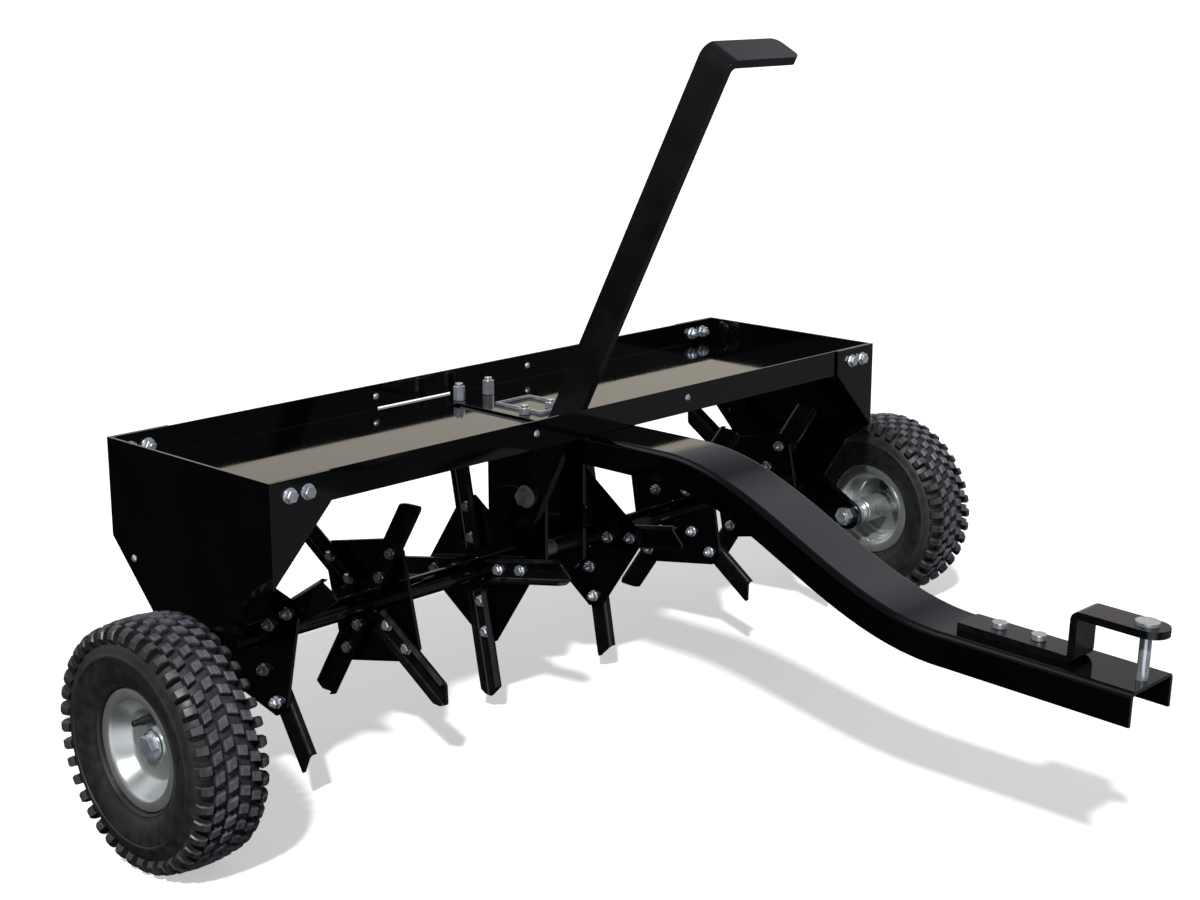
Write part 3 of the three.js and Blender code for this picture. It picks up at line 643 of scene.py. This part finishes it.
def make_rim(name):
    side = SIDES[name]
    centre = WHEEL[name]
    parts = [turned("ring", RIM_RING, centre, side, 96, 30), turned("hub", HUB, centre, side, 48, 30)]
    stands_for("rim_" + name, joined("rim", parts), FINISH["rim"])
    seals = []
    for out, way in SEAL_PLACES:
        profile = [(radius, out + way * offset) for radius, offset in SEAL]
        seals.append(turned("seal", profile, centre, side, 32))
    placed("bearing_seals_" + name, joined("seals", seals), FINISH["rubber"], "wheel_" + name)
    turn = math.radians(VALVE_TURN[name])
    place = centre + Vector((0, math.sin(turn), math.cos(turn))) * VALVE_REACH * MM
    valve = turned("valve", VALVE_STEM, place, side, 20, 40)
    placed("valve_" + name, valve, FINISH["rubber"], "wheel_" + name)


# Tongue

TONGUE_BACK = 125.0
TONGUE_BEND = -250.0
HITCH_START = -640.0
HITCH_LENGTH = 211.0
HITCH_HEIGHT = 232.5
HITCH_DIP = math.radians(2)
CHANNEL_HALF = 40.5
CHANNEL_DEEP = 36.0
CHANNEL_WALL = 4.0
CHANNEL_CORNER = 6.5
AXLE_TO_TRAY = 5
TONGUE_STEPS = 40
SLOPE_REACH = 0.01


def tongue_top(y, level):
    """Height of the tongue's top: level, a smooth half-wave down, then straight with a slight dip."""
    if y >= TONGUE_BEND:
        return level
    if y <= HITCH_START:
        return HITCH_HEIGHT + (y - HITCH_START) * math.tan(HITCH_DIP)
    share = (TONGUE_BEND - y) / (TONGUE_BEND - HITCH_START)
    return level - (level - HITCH_HEIGHT) * (1 - math.cos(math.pi * share)) / 2


def channel_section():
    """The bent channel's outline as (across, depth) points, in mm."""
    steps = 6
    inner = CHANNEL_CORNER - CHANNEL_WALL
    half = [(CHANNEL_HALF, CHANNEL_DEEP)]
    for k in range(steps + 1):
        turn = TURN / 4 * k / steps
        half.append((
            CHANNEL_HALF - CHANNEL_CORNER + CHANNEL_CORNER * math.cos(turn),
            CHANNEL_CORNER - CHANNEL_CORNER * math.sin(turn),
        ))
    hollow = []
    for k in range(steps + 1):
        turn = TURN / 4 * (1 - k / steps)
        hollow.append((
            CHANNEL_HALF - CHANNEL_CORNER + inner * math.cos(turn),
            CHANNEL_CORNER - inner * math.sin(turn),
        ))
    hollow.append((CHANNEL_HALF - CHANNEL_WALL, CHANNEL_DEEP))
    left = [(-x, depth) for x, depth in reversed(half)]
    left_hollow = [(-x, depth) for x, depth in reversed(hollow)]
    return half + left + left_hollow + hollow


def make_tongue():
    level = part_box("tongue")[1].z / MM
    shift = AXLE.y / MM + AXLE_TO_TRAY
    section = channel_section()
    stations = [TONGUE_BACK]
    for k in range(TONGUE_STEPS + 1):
        stations.append(TONGUE_BEND + (HITCH_START - TONGUE_BEND) * k / TONGUE_STEPS)
    stations.append(HITCH_START - HITCH_LENGTH)
    shape = bmesh.new()
    rings = []
    for y in stations:
        rise = tongue_top(y + SLOPE_REACH, level) - tongue_top(y - SLOPE_REACH, level)
        slope = rise / (2 * SLOPE_REACH)
        length = math.hypot(slope, 1)
        rings.append(
            [
                shape.verts.new((
                    x * MM,
                    (shift + y + depth * slope / length) * MM,
                    (tongue_top(y, level) - depth / length) * MM,
                ))
                for x, depth in section
            ]
        )
    for here, there in zip(rings, rings[1:]):
        for k in range(len(section)):
            shape.faces.new((here[k - 1], here[k], there[k], there[k - 1]))
    shape.faces.new(rings[0])
    shape.faces.new(rings[-1])
    mesh = to_mesh(shape, "tongue_shape")
    stands_for("tongue", bevelled(mesh, 0.8 * MM, 40, 3), FINISH["gloss"])


# Fasteners

WASHER_RADIUS = 8.6
WASHER_TOP = 1.5
HEX_RADIUS = 7.4
HEX_BASE = 1.4
HEX_CHAMFER = 0.9
HEAD_TOP = 6.6
NUT_TOP = 7.9
THREAD_RADIUS = 4.0
THREAD_BASE = 7
THREAD_TOP = 11.5
SMALL_BOLT = 0.84
BUTTON_RADIUS = 4.2
BUTTON_HEIGHT = 2.2


def bolt_head(size=1.0):
    shape = bmesh.new()
    prism(shape, 24, WASHER_RADIUS * size, 0, WASHER_TOP * size, 0.3)
    prism(shape, 6, HEX_RADIUS * size, HEX_BASE * size, HEAD_TOP * size, HEX_CHAMFER)
    return template("bolt_head", to_mesh(shape, "bolt_head", 20))


def nut_end(size=1.0):
    shape = bmesh.new()
    prism(shape, 24, WASHER_RADIUS * size, 0, WASHER_TOP * size, 0.3)
    prism(shape, 6, HEX_RADIUS * size, HEX_BASE * size, NUT_TOP * size, HEX_CHAMFER)
    prism(shape, 16, THREAD_RADIUS * size, THREAD_BASE * size, THREAD_TOP * size, 0.8)
    return template("nut_end", to_mesh(shape, "nut_end", 20))


def round_head(radius, height):
    shape = bmesh.new()
    steps = 5
    for k in range(steps):
        low = height * math.sin(TURN / 4 * k / steps)
        high = height * math.sin(TURN / 4 * (k + 1) / steps)
        wide = radius * math.cos(TURN / 4 * k / steps)
        narrow = radius * math.cos(TURN / 4 * (k + 1) / steps)
        prism(shape, 20, wide, low - 0.05, high, min(wide - narrow, high - low) if k else 0.4)
    return template("round_head", to_mesh(shape, "round_head", 30))


STAR_TURNS = (32, 58, 11, 10, 54.5, 57)
SPOON_BOLTS = (39.5, 78.0)
PLATE_HALF = 2.0
SPOON_WEB = 5.8
FRAME_CORNERS = ((-10, -22), (46, 55))
FRAME_WIRE = 3.0
FRAME_LIFT = 5.0
CORNER_BOLT_X = (-483, -460, 460, 483)
CORNER_BOLT_HEIGHT = 373
CORNER_WALL = 5.8
LIP_BUTTON_X = (-130, 130)
LIP_BUTTON_HEIGHT = 375
LIP_SHEET = 2.5
SIDE_BUTTON_BACK = 110
SIDE_BUTTON_HEIGHT = 259


def star_spots(number):
    """Places of the spoon bolts' heads and nuts on one star, as (place, direction) spots."""
    plate = middle(f"star_plate_{number}")
    heads, nuts = [], []
    for k in range(4):
        spoon = middle(f"spoon_{number}_{k + 1}")
        face = math.copysign(1, spoon.x - plate.x)
        turn = math.radians(STAR_TURNS[number - 1] + 90 * k)
        for reach in SPOON_BOLTS:
            y = AXLE.y - reach * MM * math.cos(turn)
            z = AXLE.z + reach * MM * math.sin(turn)
            place = Vector((plate.x, y, z))
            heads.append((place + Vector((face * SPOON_WEB * MM, 0, 0)), (face, 0, 0)))
            nuts.append((place - Vector((face * PLATE_HALF * MM, 0, 0)), (-face, 0, 0)))
    return heads, nuts


def make_gang_bolts(side, stars, head, nut):
    heads, nuts = [], []
    for number in stars:
        more_heads, more_nuts = star_spots(number)
        heads += more_heads
        nuts += more_nuts
    meshes = [
        fastened("heads", head, heads, FINISH["zinc"]),
        fastened("nuts", nut, nuts, FINISH["zinc"]),
    ]
    mesh = joined("spoon_bolts", meshes)
    placed("spoon_bolts_" + side, mesh, FINISH["zinc"], "gang_" + side)


def bolt_frame():
    """A thin rectangular retaining frame on the tray floor, round the front tongue bolt on the right."""
    shape = bmesh.new()
    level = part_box("tongue")[1].z + FRAME_LIFT * MM
    (left, front), (right, back) = FRAME_CORNERS
    across, along = right - left, back - front
    strips = [
        ((left + right) / 2, front, across + FRAME_WIRE, FRAME_WIRE),
        ((left + right) / 2, back, across + FRAME_WIRE, FRAME_WIRE),
        (left, (front + back) / 2, FRAME_WIRE, along - FRAME_WIRE),
        (right, (front + back) / 2, FRAME_WIRE, along - FRAME_WIRE),
    ]
    for x, y, size_x, size_y in strips:
        place = Matrix.Translation((x * MM, AXLE.y + y * MM, level))
        size = Matrix.Diagonal((size_x * MM, size_y * MM, FRAME_WIRE * MM, 1))
        bmesh.ops.create_cube(shape, size=1, matrix=place @ size)
    return to_mesh(shape, "bolt_frame", 20)


def make_frame_bolts(head, nut, button):
    """Corner bolts through the end plates' flanges and the lips, and button heads along the lips."""
    heads, nuts, buttons = [], [], []
    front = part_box("end_plate_left")[0].y
    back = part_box("end_plate_left")[1].y
    wall = CORNER_WALL * MM
    for x in CORNER_BOLT_X:
        for edge, way in ((front, -1), (back, 1)):
            height = CORNER_BOLT_HEIGHT * MM
            heads.append((Vector((x * MM, edge, height)), (0, way, 0)))
            nuts.append((Vector((x * MM, edge - way * wall, height)), (0, -way, 0)))
    for x in LIP_BUTTON_X:
        for edge, way in ((TRAY_LOW.y, -1), (TRAY_HIGH.y, 1)):
            height = LIP_BUTTON_HEIGHT * MM
            inner = edge - way * LIP_SHEET * MM
            buttons.append((Vector((x * MM, edge, height)), (0, way, 0)))
            buttons.append((Vector((x * MM, inner, height)), (0, -way, 0)))
    for name, side in SIDES.items():
        low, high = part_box("end_plate_" + name)
        face = high.x if side > 0 else low.x
        spot = Vector((face, AXLE.y + SIDE_BUTTON_BACK * MM, SIDE_BUTTON_HEIGHT * MM))
        buttons.append((spot, (side, 0, 0)))
    meshes = [
        fastened("heads", head, heads, FINISH["zinc"]),
        fastened("nuts", nut, nuts, FINISH["zinc"]),
        fastened("buttons", button, buttons, FINISH["zinc"]),
        bolt_frame(),
    ]
    placed("frame_bolts", joined("frame_bolts", meshes), FINISH["zinc"], "frame")


# Build

make_camera()
FINISH = finishes()
make_room()
RING = ring_tree()
ON_POINTS = points_tree()

for side_name in SIDES:
    make_tyre(side_name)
    make_rim(side_name)
make_tongue()

small_head = bolt_head(SMALL_BOLT)
small_nut = nut_end(SMALL_BOLT)
make_gang_bolts("left", (1, 2, 3), small_head, small_nut)
make_gang_bolts("right", (4, 5, 6), small_head, small_nut)
make_frame_bolts(bolt_head(), nut_end(), round_head(BUTTON_RADIUS, BUTTON_HEIGHT))

NODE_FINISH = {"lift_lever": "worn"}
SLOT_FINISH = {
    "black_gloss": "gloss",
    "black_satin": "satin",
    "zinc_fastener": "zinc",
    "plain_steel": "steel",
}
EDGE_RADIUS = {"black_gloss": 1.0, "black_satin": 0.9, "zinc_fastener": 0.5, "plain_steel": 0.4}
for node_name, node in nodes.items():
    if node.hide_render:
        continue
    slot_name = slot_of(node_name)
    shape_mesh = softened(node_name, EDGE_RADIUS[slot_name] * MM)
    stands_for(node_name, shape_mesh, FINISH[NODE_FINISH.get(node_name, SLOT_FINISH[slot_name])])
